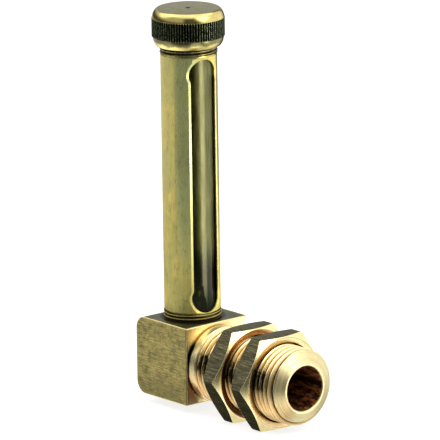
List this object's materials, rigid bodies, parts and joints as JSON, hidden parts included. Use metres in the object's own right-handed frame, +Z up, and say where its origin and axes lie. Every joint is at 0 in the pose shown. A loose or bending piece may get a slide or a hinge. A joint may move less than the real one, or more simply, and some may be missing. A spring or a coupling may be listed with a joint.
{
  "type": "tank level gauge",
  "caption": "Right-angle brass tank level gauge: slotted guard tube over a sight glass, vented knurled cap, and a threaded spigot with lock nuts to clamp through a tank wall.",
  "frame": {"origin": "where the spigot axis leaves the block's front face", "axes": "+Z up the gauge tube, +X out along the spigot, +Y to the left of someone looking along the spigot"},
  "size_m": [0.0572, 0.029, 0.1088],
  "materials": {
    "elbow_brass": "milled and brushed, lightly tarnished",
    "tube_brass": "drawn, satin, olive patina",
    "cap_brass": "turned, tarnished in the knurl",
    "nut_brass": "turned faces, dark flats",
    "gauge_glass": "clear",
    "seal_rubber": "matt"
  },
  "bodies": {
    "gauge": {"elbow_body": "elbow_brass", "guard_tube": "tube_brass", "lower_seal": "seal_rubber", "sight_glass": "gauge_glass"},
    "cap_seal": {"upper_seal": "seal_rubber"},
    "cap": {"knurled_cap": "cap_brass"},
    "inner_nut": {"inner_lock_nut": "nut_brass"},
    "outer_nut": {"outer_lock_nut": "nut_brass"}
  },
  "joints": [
    {"name": "cap_lift", "type": "slide", "parent": "gauge", "child": "cap_seal", "axis": [0, 0, 1], "range_m": [0, 0.00541]},
    {"name": "cap_turn", "type": "hinge", "parent": "cap_seal", "child": "cap", "pos_m": [-0.01, 0, 0.08625], "axis": [0, 0, 1], "range_deg": [0, 2160]},
    {"name": "inner_nut_travel", "type": "slide", "parent": "gauge", "child": "inner_nut", "axis": [1, 0, 0], "range_m": [-0.0095, 0]},
    {"name": "outer_nut_travel", "type": "slide", "parent": "gauge", "child": "outer_nut", "axis": [1, 0, 0], "range_m": [-0.0053, 0.016]}
  ],
  "couplings": [
    {"joint": "cap_lift", "follows": "cap_turn", "m_per_rad": 0.00014324}
  ]
}
